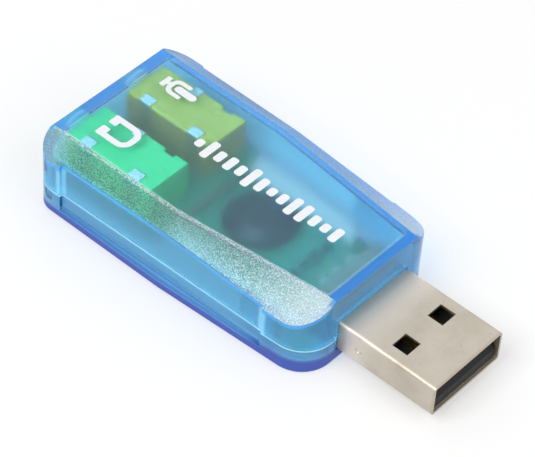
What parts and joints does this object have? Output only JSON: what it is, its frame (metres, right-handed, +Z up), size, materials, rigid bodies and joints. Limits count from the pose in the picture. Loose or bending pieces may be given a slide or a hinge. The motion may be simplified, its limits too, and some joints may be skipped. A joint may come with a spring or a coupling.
{
  "type": "usb sound card",
  "caption": "Stick-shaped USB sound card: a clear blue moulded case with a USB type A plug at one end and headphone and microphone sockets at the other.",
  "frame": {"origin": "under the middle of the overall length and width, on the flat bottom of the case", "axes": "+X along the stick to the tip of the plug, +Z up out of the flat top, the headphone socket on the -Y side"},
  "size_m": [0.056, 0.0246, 0.0108],
  "materials": {
    "clear_blue_plastic": "clear and polished, frosted on the bevels",
    "green_plastic": "moulded satin",
    "yellow_plastic": "moulded satin",
    "black_plastic": "moulded satin",
    "plug_steel": "bright plated sheet",
    "spring_metal": "tinned strip",
    "gold_contact": "gold plated",
    "board_green": "solder mask on glass laminate",
    "black_epoxy": "cast, semi-gloss",
    "crystal_can": "drawn metal can",
    "resistor_ceramic": "glazed chip with tinned ends",
    "capacitor_ceramic": "sintered chip with tinned ends"
  },
  "bodies": {
    "root": {"upper_case": "clear_blue_plastic", "lower_case": "clear_blue_plastic", "circuit_board": "board_green", "headphone_jack_housing": "green_plastic", "headphone_jack_sleeve_contact": "spring_metal", "headphone_jack_ring_contact": "spring_metal", "headphone_jack_tip_contact": "spring_metal", "microphone_jack_housing": "yellow_plastic", "microphone_jack_sleeve_contact": "spring_metal", "microphone_jack_ring_contact": "spring_metal", "microphone_jack_tip_contact": "spring_metal", "usb_shell": "plug_steel", "usb_insulator": "black_plastic", "usb_power_contact": "gold_contact", "usb_data_minus_contact": "gold_contact", "usb_data_plus_contact": "gold_contact", "usb_ground_contact": "gold_contact", "audio_chip": "black_epoxy", "clock_crystal": "crystal_can", "chip_resistor_1": "resistor_ceramic", "chip_resistor_2": "resistor_ceramic", "chip_resistor_3": "resistor_ceramic", "chip_resistor_4": "resistor_ceramic", "chip_capacitor_1": "capacitor_ceramic", "chip_capacitor_2": "capacitor_ceramic", "chip_capacitor_3": "capacitor_ceramic", "chip_capacitor_4": "capacitor_ceramic", "chip_capacitor_5": "capacitor_ceramic", "chip_capacitor_6": "capacitor_ceramic"}
  },
  "joints": []
}
